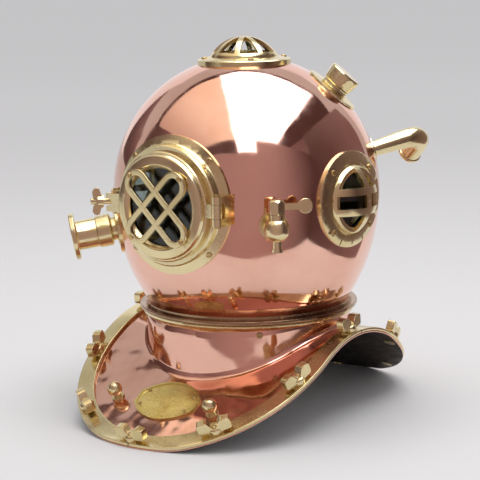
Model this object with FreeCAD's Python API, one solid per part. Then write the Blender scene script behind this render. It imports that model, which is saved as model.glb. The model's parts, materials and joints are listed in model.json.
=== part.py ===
# Diving helmet: copper bonnet and breastplate with brass fittings.
# Millimetres. +Z is up, the face looks along -Y, the diver's left is +X.
# The origin is the centre of the neck joint, where the bonnet ring meets the breastplate ring.

import math
import os

import FreeCAD
import Part

Vector = FreeCAD.Vector

os.makedirs("parts", exist_ok=True)

# Bonnet dome: a half sphere above, a half ellipsoid below.
dome_radius = 165.0
dome_low_height = 208.0
dome_centre_z = 144.5
dome_wall = 1.6

# Neck joint.
neck_ring_radius = 132.5
neck_ring_height = 5.0
neck_skirt_depth = 18.0
neck_skirt_wall = 3.0
bonnet_ring_radius = 136.0
bonnet_ring_height = 5.0
bonnet_ring_lip = 4.0
bonnet_ring_lip_wall = 4.0
dome_seat_z = 3.0
joint_gap = 0.1
turn_clearance = 0.4
spigot_wall = 4.0
lug_depth = 5.0
lug_height = 5.5
lug_count = 4
lug_angle = 42.0
lug_start = 45.0
gasket_width = 6.0
gasket_height = 1.2

# Breastplate.
collar_radius = 128.0
sheet_wall = 1.6
shoulder_wall = 2.0
collar_fillet = 6.0
shoulder_z = -19.5
shoulder_half_width = 166.0
shoulder_front_length = 244.0
shoulder_back_length = 222.0
shoulder_arc = 152.0
shoulder_slope = 28.0
lobe_arc = 35.0
rest_cut = 0.5

# Clamp straps, studs and wing nuts.
strap_width = 21.0
strap_height = 4.0
strap_gap = 0.6
stud_count = 12
stud_radius = 4.0
stud_above_strap = 12.0
stud_head_radius = 7.0
stud_head_height = 1.4
thread_clearance = 0.05
nut_seat_room = 0.5
clamp_nut_half_span = 20.0
clamp_nut_height = 18.0
clamp_nut_half_thickness = 6.0
clamp_nut_hub_radius = 8.5

# Nameplate and ball studs on the front slope.
plate_centre_y = -169.0
plate_half_width = 48.5
plate_half_height = 32.0
plate_tip_cut = 5.0
plate_height = 1.6
plate_border_width = 3.0
plate_border_height = 0.9
rivet_radius = 2.2
rivet_shank_radius = 1.3
rivet_x = 33.0
rivet_y = 11.5
ball_x = 71.0
ball_y = -175.0
ball_radius = 9.0
ball_centre_height = 13.0
ball_neck_radius = 4.2
ball_base_radius = 8.0
ball_base_height = 2.2

# Slotted and round screws.
ring_screw_angle = 41.0
ring_screw_drop = 8.0
ring_pin_angle = 53.0
ring_pin_radius = 1.8
ring_pin_height = 1.2
screw_head_radius = 3.8
screw_head_height = 1.8
screw_shank_radius = 1.8
screw_slot_width = 1.2
screw_slot_depth = 0.9
screw_count = 4

# Front window seat.
front_flange_radius = 82.0
front_flange_thickness = 3.3
seat_outer_radius = 71.5
seat_inner_radius = 56.0
seat_face = 163.0
seat_chamfer = 1.6
seat_fillet_reach = 4.0
seat_foot_depth = 0.8
seat_gasket_inner = 58.5
seat_gasket_width = 4.0
seat_gasket_depth = 1.5
front_screw_radius = 77.3
door_gap = 0.3

# Front door, its glass and its grille.
door_radius = 65.0
door_face_outer = 61.5
door_face_inner = 49.5
door_face_height = 14.0
door_rim_height = 7.5
door_bore_radius = 45.5
door_pocket_radius = 52.0
door_lip_height = 6.2
glass_thickness = 3.5
gasket_cover = 2.0
gasket_wall = 1.3
grille_loop_radius = 13.6
grille_loop_reach = 38.0
grille_bar = 7.4
grille_height = 4.5
grille_stand = 1.4
grille_screw_head = 3.4
grille_screw_grip = 3.0

# Door hinge on the diver's left, vertical pin.
hinge_x = 77.5
hinge_face_offset = 4.0
hinge_barrel_radius = 6.5
hinge_lug_half_height = 8.0
hinge_ear_height = 9.0
hinge_side_gap = 0.4
hinge_pin_radius = 2.5
hinge_running = 0.05
hinge_pin_head_radius = 4.2
hinge_pin_head_height = 1.6

# Swing bolt on the diver's right.
swing_x = -79.0
swing_below_face = 6.0
swing_eye_radius = 6.3
swing_eye_half_height = 6.0
swing_ear_height = 7.5
swing_bolt_radius = 4.0
swing_bolt_length = 31.0
swing_rest_angle = 50.0
swing_pin_radius = 2.4
swing_pin_head_radius = 3.8
fork_half_height = 11.0
fork_slot_clearance = 0.6
fork_reach = 4.0
fork_top = 15.0
door_nut_gap = 0.3
door_nut_half_span = 16.5
door_nut_height = 13.5
door_nut_half_thickness = 4.6
door_nut_hub_radius = 7.5

# Side and top lights.
light_angle = 85.35
light_flange_radius = 57.5
light_edge = 161.0
light_face = 165.5
light_shoulder = 163.9
light_inner_radius = 43.5
light_guard_radius = 41.0
light_bore_radius = 34.0
light_sleeve_radius = 40.0
light_pocket_radius = 38.2
light_sleeve_end = 152.8
light_lip = 160.0
guard_height = 23.0
guard_rim_height = 4.0
guard_thickness = 4.0
guard_bar = 8.5
guard_bar_offset = 12.0
spoke_count = 8
spoke_width = 6.5
spoke_start = 22.5
spoke_hub_radius = 8.5
light_screw_radius = 49.5
light_screw_head = 3.4
light_screw_length = 4.0

# Exhaust spool on the diver's right front.
exhaust_angle = -49.0
exhaust_drop = 44.0
exhaust_base_radius = 31.0
exhaust_base_thickness = 3.0
exhaust_neck_radius = 14.5
exhaust_neck_length = 8.0
exhaust_body_radius = 20.0
exhaust_body_end = 25.0
exhaust_wheel_radius = 18.4
exhaust_flange_radius = 29.0
exhaust_flange_thickness = 6.0
exhaust_length = 57.0
exhaust_wheel_gap = 0.3
exhaust_recess_radius = 23.0
exhaust_recess_depth = 1.6
exhaust_chamber_radius = 11.5
exhaust_seat_radius = 9.0
exhaust_seat_at = 6.0
exhaust_chamber_end = 16.0
exhaust_spindle_radius = 5.0
exhaust_spindle_inner = 13.0
exhaust_disc_radius = 10.8
exhaust_disc_thickness = 2.0
exhaust_stem_radius = 1.8
exhaust_stem_end = 20.0
exhaust_stem_bore_end = 25.0
exhaust_seat_gap = 0.1

# Spitcock on the diver's left front.
spit_angle = 46.0
spit_drop = 20.0
spit_base_radius = 17.0
spit_base_thickness = 2.5
spit_neck_radius = 8.5
spit_ball_radius = 14.5
spit_ball_at = 21.5
spit_spout_radius = 5.4
spit_spout_length = 26.0
spit_spout_bore = 2.0
spit_plug_radius = 5.8
spit_plug_depth = 9.8
spit_collar_radius = 9.3
spit_collar_height = 17.4
spit_cap_radius = 9.8
spit_cap_top = 34.5
spit_cap_gap = 0.3
lever_length = 42.0
lever_neck_width = 7.2
lever_paddle_radius = 8.8
lever_thickness = 5.2

# Round plug, upper back left.
plug_angle = 119.0
plug_elevation = 48.5
plug_flange_radius = 35.0
plug_flange_thickness = 2.5
plug_hub_radius = 17.5
plug_hub_height = 3.0
plug_cap_base_radius = 18.5
plug_cap_top_radius = 20.5
plug_cap_height = 21.0
plug_cap_gap = 0.3
plug_shank_radius = 11.0
plug_shank_length = 9.0
plug_edge = 1.5

# Air inlet elbow, back left.
elbow_angle = 135.0
elbow_elevation = 15.0
elbow_base_radius = 17.0
elbow_base_thickness = 2.5
elbow_root_radius = 9.5
elbow_tube_radius = 12.5
elbow_arm_length = 49.0
elbow_bend_radius = 16.0
elbow_bend_angle = 115.0
elbow_tilt = 36.0
elbow_mouth_length = 24.0
elbow_mouth_radius = 15.0
elbow_bead_length = 5.0
elbow_bore_radius = 7.5
elbow_socket_radius = 11.0
elbow_socket_depth = 12.0

# Worked out from the values above.
collar_inner = collar_radius - sheet_wall
groove_radius = collar_inner - neck_skirt_wall
ring_lug_radius = groove_radius - lug_depth
spigot_radius = ring_lug_radius - turn_clearance
spigot_bore = spigot_radius - spigot_wall
spigot_lug_radius = groove_radius - turn_clearance
door_back = seat_face + door_gap
hinge_d = door_back - door_gap + hinge_face_offset
swing_d = seat_face - swing_below_face
face_top = door_back + door_face_height
slope = math.radians(shoulder_slope)
arch_reach = shoulder_arc + lobe_arc
slope_run = (shoulder_front_length - arch_reach * math.sin(slope)) / math.cos(slope)
lobe_rise = arch_reach * math.cos(slope) - slope_run * math.sin(slope)
back_run = math.sqrt(lobe_rise ** 2 + shoulder_back_length ** 2 - arch_reach ** 2)
back_slope = math.atan2(shoulder_back_length, lobe_rise) - math.atan2(back_run, arch_reach)
front_end_y = shoulder_front_length - shoulder_half_width
back_end_y = shoulder_back_length - shoulder_half_width
stud_inset = strap_width / 2.0
far = 400.0
up = Vector(0, 0, 1)
dome_centre = Vector(0, 0, dome_centre_z)


# Helpers

def save(name, shape):
    shape.exportStep("parts/" + name + ".step")


def placed(shape, origin, x_axis, z_axis):
    """Move a shape from its own axes to an origin with the given X and Z directions."""
    z = Vector(z_axis).normalize()
    x = (x_axis - z * x_axis.dot(z)).normalize()
    y = z.cross(x)
    matrix = FreeCAD.Matrix(
        x.x, y.x, z.x, origin.x,
        x.y, y.y, z.y, origin.y,
        x.z, y.z, z.z, origin.z,
        0, 0, 0, 1)
    moved = shape.copy()
    moved.Placement = FreeCAD.Placement(matrix).multiply(moved.Placement)
    return moved


def direction(angle, elevation):
    """Outward direction: angle from the face towards the diver's left, elevation above level."""
    a = math.radians(angle)
    e = math.radians(elevation)
    return Vector(math.sin(a) * math.cos(e), -math.cos(a) * math.cos(e), math.sin(e))


def tangent(angle):
    """Level direction along the dome, towards the diver's left as seen from the face."""
    a = math.radians(angle)
    return Vector(math.cos(a), math.sin(a), 0)


def wire(edges):
    return Part.Wire(Part.__sortEdges__(edges))


def revolved(points):
    """Closed outline of (radius, height) points, turned about Z."""
    corners = [Vector(r, 0, z) for r, z in points]
    corners.append(corners[0])
    face = Part.Face(Part.makePolygon(corners))
    return face.revolve(Vector(0, 0, 0), up, 360)


def tube(outer, inner, low, high):
    return revolved([(inner, low), (outer, low), (outer, high), (inner, high)])


def rod(radius, low, high):
    return Part.makeCylinder(radius, high - low, Vector(0, 0, low))


def block(x0, x1, y0, y1, z0, z1):
    return Part.makeBox(x1 - x0, y1 - y0, z1 - z0, Vector(x0, y0, z0))


def turned(shape, angle, centre=Vector(0, 0, 0), axis=up):
    copy = shape.copy()
    copy.rotate(centre, axis, angle)
    return copy


def fused(shapes):
    result = shapes[0]
    for shape in shapes[1:]:
        result = result.fuse(shape)
    return result.removeSplitter()


def ring_sector(outer, inner, low, high, middle, angle):
    """Part of a ring, centred on an angle measured from the face."""
    pie = Part.makeCylinder(outer, high - low, Vector(0, 0, low), up, angle)
    pie = pie.cut(rod(inner, low - 1, high + 1))
    return turned(pie, middle - 90.0 - angle / 2.0)


def dome_solid(grow, low_z):
    """The dome's filled shape, grown outwards, from a level up."""
    radius = dome_radius + grow
    height = dome_low_height + grow
    top = Vector(0, 0, dome_centre_z + radius)
    side = Vector(radius, 0, dome_centre_z)
    half = math.sqrt(0.5) * radius
    upper = Part.Arc(side, Vector(half, 0, dome_centre_z + half), top).toShape()
    ellipse = Part.Ellipse(Vector(0, 0, dome_centre_z + height), side, dome_centre)
    low_angle = math.acos((low_z - dome_centre_z) / height)
    lower = Part.ArcOfEllipse(ellipse, math.pi / 2.0, low_angle).toShape()
    low_point = Vector(radius * math.sin(low_angle), 0, low_z)
    base = Part.makeLine(Vector(0, 0, low_z), low_point)
    axis = Part.makeLine(Vector(0, 0, low_z), top)
    face = Part.Face(wire([base, lower, upper, axis]))
    return face.revolve(Vector(0, 0, 0), up, 360)


def dome_point(angle, height_above_centre):
    """Point on the dome's surface and the outward normal there."""
    low = height_above_centre < 0
    tall = dome_low_height if low else dome_radius
    radius = dome_radius * math.sqrt(1.0 - (height_above_centre / tall) ** 2)
    point = Vector(0, 0, dome_centre_z + height_above_centre) + direction(angle, 0) * radius
    elevation = math.degrees(math.atan2(height_above_centre / tall ** 2, radius / dome_radius ** 2))
    return point, direction(angle, elevation)


dome_big = dome_solid(0.0, -40.0)


def saddle(radius, thickness, origin, normal):
    """Thin round plate that follows the dome."""
    drum = Part.makeCylinder(radius, 60.0, origin - normal * 40.0, normal)
    return drum.common(dome_solid(thickness, -40.0)).cut(dome_big)


def screw(radius, height, shank, length):
    """Round head on z = 0 with a slot, and a shank below."""
    head = rod(radius, 0, height)
    rim = [edge for edge in head.Edges if abs(edge.CenterOfMass.z - height) < 1e-6]
    head = head.makeFillet(0.6 * height, rim)
    half_slot = screw_slot_width / 2.0
    slot = block(-radius - 1, radius + 1, -half_slot, half_slot, height - screw_slot_depth, height + 1)
    return head.cut(slot).fuse(rod(shank, -length, 0)).removeSplitter()


def wing_nut(half_span, height, half_thickness, hub_radius):
    """Butterfly nut standing on z = 0, wings along X, bored for its stud."""
    notch = 0.5 * height
    outline = [
        (0, notch), (hub_radius * 0.75, height * 0.93), (hub_radius + 4.0, height),
        (half_span - 1.5, height * 0.86), (half_span, height * 0.62),
        (half_span - 1.2, height * 0.38), (hub_radius, height * 0.2), (hub_radius, 1.5),
    ]
    mirror = [(-x, z) for x, z in reversed(outline[1:])]
    corners = [Vector(x, -half_thickness, z) for x, z in outline + mirror]
    corners.append(corners[0])
    wings = Part.Face(Part.makePolygon(corners)).extrude(Vector(0, 2 * half_thickness, 0))
    limit = rod(half_span + 0.2, -1, height + 1)
    body = fused([wings.common(limit), rod(hub_radius, 0, notch)])
    return body.cut(rod(stud_radius + thread_clearance, -1, height + 1))


# Breastplate

arch_centre = Vector(0, 0, shoulder_z - shoulder_arc)


class ArchSide:
    """Line of the shoulder arch on one side: an arc, a straight slope, then an upturned lobe."""

    def __init__(self, side, angle, run_length):
        self.side = side
        self.angle = angle
        self.rise = Vector(0, side * math.sin(angle), math.cos(angle))
        run = Vector(0, side * math.cos(angle), -math.sin(angle))
        self.arc_end = arch_centre + self.rise * shoulder_arc
        self.slope_end = self.arc_end + run * run_length
        self.lobe_centre = self.slope_end + self.rise * lobe_arc

    def corners(self, offset, low_z):
        """Points of the offset line: arc end, slope end, middle and tip of the lobe, then outside."""
        half = self.angle / 2.0
        lobe_radius = lobe_arc - offset
        tip = self.lobe_centre - Vector(0, 0, lobe_radius)
        out_y = self.side * (shoulder_front_length + 30.0)
        return (
            arch_centre + self.rise * (shoulder_arc + offset), self.slope_end + self.rise * offset,
            self.lobe_centre - Vector(0, self.side * math.sin(half), math.cos(half)) * lobe_radius, tip,
            Vector(0, out_y, tip.z), Vector(0, out_y, low_z))


front_side = ArchSide(-1, slope, slope_run)
back_side = ArchSide(1, back_slope, back_run)
floor_z = front_side.lobe_centre.z - lobe_arc - shoulder_wall + rest_cut


def arch_block(offset, low_z):
    """Everything under the shoulder arch, offset along its normal, down to a level."""
    width = shoulder_half_width + 20.0
    top = arch_centre + Vector(0, 0, shoulder_arc + offset)
    arc_point, slope_point, lobe_point, tip, out, low = back_side.corners(offset, low_z)
    front_arc, front_slope, front_lobe, front_tip, front_out, front_low = front_side.corners(offset, low_z)
    edges = [
        Part.Arc(front_arc, top, arc_point).toShape(),
        Part.makeLine(arc_point, slope_point),
        Part.Arc(slope_point, lobe_point, tip).toShape(),
        Part.makeLine(tip, out),
        Part.makeLine(out, low),
        Part.makeLine(low, front_low),
        Part.makeLine(front_low, front_out),
        Part.makeLine(front_out, front_tip),
        Part.Arc(front_tip, front_lobe, front_slope).toShape(),
        Part.makeLine(front_slope, front_arc),
    ]
    face = Part.Face(wire(edges))
    face.translate(Vector(-width, 0, 0))
    return face.extrude(Vector(2 * width, 0, 0))


def arch_at(y):
    """Height of the arch surface and its downhill angle at a distance to the front or back."""
    line = back_side if y > 0 else front_side
    away = abs(y)
    if away <= abs(line.arc_end.y):
        z = arch_centre.z + math.sqrt(shoulder_arc ** 2 - away ** 2)
        angle = math.asin(away / shoulder_arc)
    elif away <= abs(line.slope_end.y):
        z = line.arc_end.z - (away - abs(line.arc_end.y)) * math.tan(line.angle)
        angle = line.angle
    else:
        inside = abs(line.lobe_centre.y) - away
        z = line.lobe_centre.z - math.sqrt(lobe_arc ** 2 - inside ** 2)
        angle = math.asin(inside / lobe_arc)
    return z, math.copysign(angle, y)


def arch_place(shape, x, y, along=Vector(1, 0, 0), height=0.0):
    """Stand a shape on the arch surface, its X axis along a level direction."""
    z, angle = arch_at(y)
    normal = Vector(0, math.sin(angle), math.cos(angle))
    return placed(shape, Vector(x, y, z) + normal * height, along, normal)


def stadium(inset, low, high):
    """Prism of the breastplate's outline, drawn in by an inset."""
    r = shoulder_half_width - inset
    front = -front_end_y
    back = back_end_y
    edges = [
        Part.makeLine(Vector(r, front, low), Vector(r, back, low)),
        Part.Arc(Vector(r, back, low), Vector(0, back + r, low), Vector(-r, back, low)).toShape(),
        Part.makeLine(Vector(-r, back, low), Vector(-r, front, low)),
        Part.Arc(Vector(-r, front, low), Vector(0, front - r, low), Vector(r, front, low)).toShape(),
    ]
    return Part.Face(wire(edges)).extrude(Vector(0, 0, high - low))


def stud_places():
    """Evenly spaced points round the strap's middle line, with the line's direction."""
    r = shoulder_half_width - stud_inset
    bend_length = math.pi * r / 2.0
    half_way = 2.0 * bend_length + front_end_y + back_end_y
    places = []
    for index in range(stud_count):
        step = index * 2.0 * half_way / stud_count
        flip_x = 1 if step <= half_way else -1
        step = min(step, 2.0 * half_way - step)
        if step <= bend_length + front_end_y:
            flip_y, along, end_y = 1, step, front_end_y
        else:
            flip_y, along, end_y = -1, half_way - step, back_end_y
        bend = min(along, bend_length) / r
        x = flip_x * r * math.sin(bend)
        y = flip_y * (-end_y - r * math.cos(bend) + max(0.0, along - bend_length))
        places.append((x, y, Vector(flip_x * math.cos(bend), flip_y * math.sin(bend), 0)))
    return places


studs = stud_places()


def on_studs(shape, height=0.0):
    return [arch_place(shape, x, y, line, height) for x, y, line in studs]


def ring_of(shape, radius, z, first_angle):
    """Four copies of a shape standing outwards from a cylinder about Z."""
    result = []
    for index in range(screw_count):
        angle = first_angle + index * 360.0 / screw_count
        origin = direction(angle, 0) * radius + Vector(0, 0, z)
        result.append(placed(shape, origin, tangent(angle), direction(angle, 0)))
    return result


def cut_all(solid, tools):
    for tool in tools:
        solid = solid.cut(tool)
    return solid


def fillet_collar(solid, radius, fillet):
    """Round the edge where the collar's cylinder meets the arch."""
    picked = []
    for edge in solid.Edges:
        box = edge.BoundBox
        on_collar = all(abs(math.hypot(p.x, p.y) - radius) < 0.01 for p in edge.discretize(5))
        if on_collar and box.XLength + box.YLength > 10 and box.ZMax < -neck_ring_height - 1:
            picked.append(edge)
    return solid.makeFillet(fillet, picked)


def ball_seats(shape):
    return [arch_place(shape, x, ball_y) for x in (-ball_x, ball_x)]


ring_screw_z = -neck_ring_height - ring_screw_drop
ring_screw_length = sheet_wall + neck_skirt_wall
ring_screw_shanks = ring_of(rod(screw_shank_radius, -ring_screw_length, 1), collar_radius, ring_screw_z,
                            ring_screw_angle)


def breastplate_shell():
    deep = floor_z - 60.0
    outer = arch_block(0.0, deep).common(stadium(0.0, deep, 40.0))
    outer = outer.fuse(rod(collar_radius, deep + 1, -neck_ring_height)).removeSplitter()
    outer = fillet_collar(outer, collar_radius, collar_fillet)
    inner = arch_block(-shoulder_wall, deep - 20.0)
    inner = inner.fuse(rod(collar_inner, deep - 10.0, 30.0)).removeSplitter()
    inner = fillet_collar(inner, collar_inner, collar_fillet + shoulder_wall)
    shell = outer.cut(inner).common(block(-far, far, -far, far, floor_z, 40.0))
    shell = cut_all(shell, on_studs(rod(stud_radius, -10, 10)))
    shell = cut_all(shell, ring_screw_shanks)
    return cut_all(shell, ball_seats(rod(ball_neck_radius, -6, 6)))


gasket_middle = (neck_ring_radius + groove_radius) / 2.0


def gasket_ring(high):
    half = gasket_width / 2.0
    return tube(gasket_middle + half, gasket_middle - half, -gasket_height, high)


def outer_rim(solid, radius):
    return [e for e in solid.Edges if abs(e.BoundBox.XMax - radius) < 0.01 and e.BoundBox.ZLength < 0.01]


def neck_ring():
    """Breastplate's ring: a flange on the collar, a skirt inside it, lugs inside the skirt."""
    ring = tube(neck_ring_radius, groove_radius, -neck_ring_height, 0)
    ring = ring.makeFillet(neck_ring_height * 0.3, outer_rim(ring, neck_ring_radius))
    parts = [ring, tube(collar_inner, groove_radius, -neck_skirt_depth, -0.5)]
    for index in range(lug_count):
        middle = lug_start + index * 360.0 / lug_count
        parts.append(ring_sector(groove_radius + 1, ring_lug_radius, -lug_height, 0, middle, lug_angle))
    ring = fused(parts).cut(gasket_ring(1.0))
    return cut_all(ring, ring_screw_shanks)


def neck_ring_screws():
    shape = screw(screw_head_radius, screw_head_height, screw_shank_radius, 1.0)
    heads = ring_of(shape, collar_radius, ring_screw_z, ring_screw_angle)
    collar = rod(collar_radius, -60, 20)
    return Part.Compound([
        head.cut(collar).fuse(shank).removeSplitter() for head, shank in zip(heads, ring_screw_shanks)])


def straps():
    """Four strap quarters that clamp the rim."""
    band = stadium(0.0, -far, far).cut(stadium(strap_width, -far - 1, far + 1))
    band = band.common(arch_block(strap_height, -far)).cut(arch_block(0.0, -far - 1))
    band = cut_all(band, on_studs(rod(stud_radius + 0.2, -10, 20)))
    band = cut_all(band, on_studs(rod(clamp_nut_hub_radius + nut_seat_room, strap_height + 0.05, 20)))
    half = strap_gap / 2.0
    result = {}
    for side, x0, x1 in (("left", half, far), ("right", -far, -half)):
        for end, y0, y1 in (("front", -far, -half), ("back", half, far)):
            result["strap_" + end + "_" + side] = band.common(block(x0, x1, y0, y1, -far, far))
    return result


def top_edges(solid, height):
    return [e for e in solid.Edges if abs(e.CenterOfMass.z - height) < 1e-6]


def clamp_studs():
    tip = strap_height + stud_above_strap
    shaft = rod(stud_radius, -shoulder_wall, tip)
    shaft = shaft.makeChamfer(0.8, top_edges(shaft, tip))
    head = rod(stud_head_radius, -shoulder_wall - stud_head_height, -shoulder_wall)
    under = arch_block(-shoulder_wall, -far).common(block(-far, far, -far, far, floor_z, 40.0))
    whole = [top.fuse(low.common(under)).removeSplitter() for top, low in zip(on_studs(shaft), on_studs(head))]
    return Part.Compound([max(shape.Solids, key=lambda solid: solid.Volume) for shape in whole])


def oval(inset, low, high):
    """Pointed oval with clipped tips."""
    radius = (plate_half_width ** 2 + plate_half_height ** 2) / (2.0 * plate_half_height)
    below = radius - plate_half_height
    tip = math.sqrt((radius - inset) ** 2 - below ** 2)
    height = radius - inset - below
    left = Vector(-tip, 0, low)
    right = Vector(tip, 0, low)
    upper = Part.Arc(left, Vector(0, height, low), right).toShape()
    lower = Part.Arc(right, Vector(0, -height, low), left).toShape()
    solid = Part.Face(wire([upper, lower])).extrude(Vector(0, 0, high - low))
    clip = plate_half_width - plate_tip_cut - inset
    return solid.common(block(-clip, clip, -far, far, low, high))


def on_plate(shape):
    """Copies of a shape at the four rivets, in the plate's own axes."""
    return [shape.translated(Vector(x, y, 0)) for x in (-rivet_x, rivet_x) for y in (-rivet_y, rivet_y)]


def nameplate():
    top = plate_height + plate_border_height
    plate = oval(0.0, 0, top).cut(oval(plate_border_width, plate_height, top + 1))
    plate = cut_all(plate, on_plate(rod(rivet_shank_radius, -1, top)))
    return arch_place(plate, 0, plate_centre_y)


def nameplate_rivets():
    head = Part.makeSphere(rivet_radius, Vector(0, 0, plate_height))
    head = head.common(block(-far, far, -far, far, plate_height, far))
    rivet = head.fuse(rod(rivet_shank_radius, 0, plate_height)).removeSplitter()
    return Part.Compound([arch_place(copy, 0, plate_centre_y) for copy in on_plate(rivet)])


def ball_studs():
    base = rod(ball_base_radius, 0, ball_base_height)
    neck = rod(ball_neck_radius, -shoulder_wall, ball_centre_height)
    ball = Part.makeSphere(ball_radius, Vector(0, 0, ball_centre_height))
    return Part.Compound(ball_seats(fused([base, neck, ball])))


# Bonnet

front = direction(0, 0)
exhaust_point, exhaust_axis = dome_point(exhaust_angle, -exhaust_drop)
spit_point, spit_axis = dome_point(spit_angle, -spit_drop)
plug_axis = direction(plug_angle, plug_elevation)
elbow_axis = direction(elbow_angle, elbow_elevation)
spit_ball = spit_point + spit_axis * spit_ball_at


def at_front(shape):
    return placed(shape, dome_centre, tangent(0), front)


def at_left(shape):
    return placed(shape, dome_centre, tangent(light_angle), direction(light_angle, 0))


def at_right(shape):
    return placed(shape, dome_centre, tangent(-light_angle), direction(-light_angle, 0))


def at_top(shape):
    return placed(shape, dome_centre, tangent(0), up)


def at_exhaust(shape):
    return placed(shape, exhaust_point, tangent(exhaust_angle), exhaust_axis)


def at_plug(shape):
    return placed(shape, dome_centre + plug_axis * dome_radius, tangent(plug_angle), plug_axis)


def at_spit(shape):
    """Z is the cock's vertical plug axis, X runs along the dome."""
    return placed(shape, spit_ball, tangent(spit_angle), up)


def at_spit_neck(shape):
    return placed(shape, spit_point, tangent(spit_angle), spit_axis)


def at_elbow(shape):
    """Z leaves the dome, X is the side the elbow bends to."""
    down = elbow_axis * elbow_axis.dot(up) - up
    down.normalize()
    tilt = math.radians(elbow_tilt)
    side = tangent(elbow_angle) * math.cos(tilt) + down * math.sin(tilt)
    return placed(shape, dome_centre + elbow_axis * dome_radius, side, elbow_axis)


def diagonals(shape, radius, z, tilt=0.0):
    """Four copies at the diagonals about Z, each leaning outwards by a tilt."""
    copy = turned(shape, tilt, Vector(0, 0, 0), Vector(0, 1, 0)).translated(Vector(radius, 0, z))
    return [turned(copy, 45.0 + index * 90.0) for index in range(screw_count)]


def on_flange(shape):
    """Four copies standing on the front flange's curved face."""
    wide = dome_radius + front_flange_thickness
    result = []
    for x in (-1, 1):
        for z in (-1, 1):
            step = front_screw_radius * math.sqrt(0.5)
            tall = wide if z > 0 else dome_low_height + front_flange_thickness
            depth = wide * math.sqrt(1.0 - (step / tall) ** 2 - (step / wide) ** 2)
            normal = Vector(x * step / wide ** 2, -depth / wide ** 2, z * step / tall ** 2)
            origin = dome_centre + Vector(x * step, -depth, z * step)
            result.append(placed(shape, origin, Vector(1, 0, 0), normal))
    return result


front_screw_length = front_flange_thickness + dome_wall + 2.0
front_screw_shanks = on_flange(rod(screw_shank_radius, -front_screw_length, 1))


def bonnet_shell():
    shell = dome_solid(0.0, dome_seat_z).cut(dome_solid(-dome_wall, -40.0))
    light_hole = rod(light_sleeve_radius, 100, 200)
    shell = cut_all(shell, [
        at_front(rod(seat_inner_radius, 100, 200)), at_top(light_hole), at_left(light_hole),
        at_right(light_hole), at_exhaust(rod(exhaust_seat_radius, -20, 20)),
        at_plug(rod(plug_shank_radius + 1.0, -20, 20)), at_elbow(rod(elbow_bore_radius, -20, 20)),
        at_spit_neck(rod(spit_spout_bore, -20, 20)),
    ])
    light_shanks = [place(hole) for place in (at_left, at_right, at_top) for hole in light_screw_holes]
    return cut_all(shell, front_screw_shanks + light_shanks)


ring_top = joint_gap + bonnet_ring_height
lip_top = ring_top + bonnet_ring_lip
lip_inner = dome_radius * math.sqrt(1.0 - ((lip_top - dome_centre_z) / dome_low_height) ** 2)
lip_outer = lip_inner + bonnet_ring_lip_wall
ring_pins = ring_of(rod(ring_pin_radius, -bonnet_ring_lip_wall, ring_pin_height), lip_outer,
                    ring_top + bonnet_ring_lip / 2.0, ring_pin_angle)


def bonnet_ring():
    """Ring under the dome, with a lip round it and a spigot that carries the lugs."""
    ring = tube(bonnet_ring_radius, spigot_bore, joint_gap, ring_top)
    ring = ring.makeFillet(bonnet_ring_height * 0.3, outer_rim(ring, bonnet_ring_radius))
    lug_top = -lug_height - turn_clearance
    spigot_low = lug_top - lug_height - turn_clearance
    parts = [
        ring, tube(lip_outer, spigot_bore, joint_gap + 1, lip_top),
        tube(spigot_radius, spigot_bore, spigot_low, joint_gap + 1),
    ]
    for index in range(lug_count):
        middle = lug_start + index * 360.0 / lug_count
        parts.append(ring_sector(spigot_lug_radius, spigot_bore + 1, spigot_low, lug_top, middle, lug_angle))
    ring = fused(parts).cut(dome_solid(0.0, dome_seat_z))
    return cut_all(ring, ring_pins)


def bonnet_ring_pins():
    return Part.Compound([pin.cut(dome_big) for pin in ring_pins])


# Front window, in axes whose Z leaves the window and whose Y is up

def local_dome(grow):
    solid = dome_solid(grow, -40.0)
    solid.translate(dome_centre * -1.0)
    solid.rotate(Vector(0, 0, 0), Vector(1, 0, 0), -90.0)
    return solid


def upright(radius, x, d, low, high):
    """Cylinder along the window's up axis."""
    return Part.makeCylinder(radius, high - low, Vector(x, low, d), Vector(0, 1, 0))


hinge_ear_low = hinge_lug_half_height + hinge_side_gap
hinge_ear_high = hinge_ear_low + hinge_ear_height
swing_ear_low = swing_eye_half_height + hinge_side_gap
swing_ear_high = swing_ear_low + swing_ear_height


def both_sides(low, high):
    return ((-high, -low), (low, high))


def hinge_ears():
    left = hinge_x - hinge_barrel_radius
    right = hinge_x + hinge_barrel_radius
    web_top = hinge_d - hinge_barrel_radius - 1.0
    parts = [block(seat_outer_radius - 5, right, -hinge_ear_high, hinge_ear_high, 120, web_top)]
    for low, high in both_sides(hinge_ear_low, hinge_ear_high):
        parts.append(upright(hinge_barrel_radius, hinge_x, hinge_d, low, high))
        parts.append(block(left, right, low, high, 120, hinge_d))
    return parts


def swing_ears():
    inner = -seat_outer_radius + 6
    top = swing_d + swing_eye_radius - 1.5
    parts = []
    for low, high in both_sides(swing_ear_low, swing_ear_high):
        parts.append(upright(swing_eye_radius, swing_x, swing_d, low, high))
        parts.append(block(swing_x, inner, low, high, swing_d - swing_eye_radius, top))
        parts.append(block(swing_x - swing_eye_radius, inner, low, high, 120, swing_d))
    return parts


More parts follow.
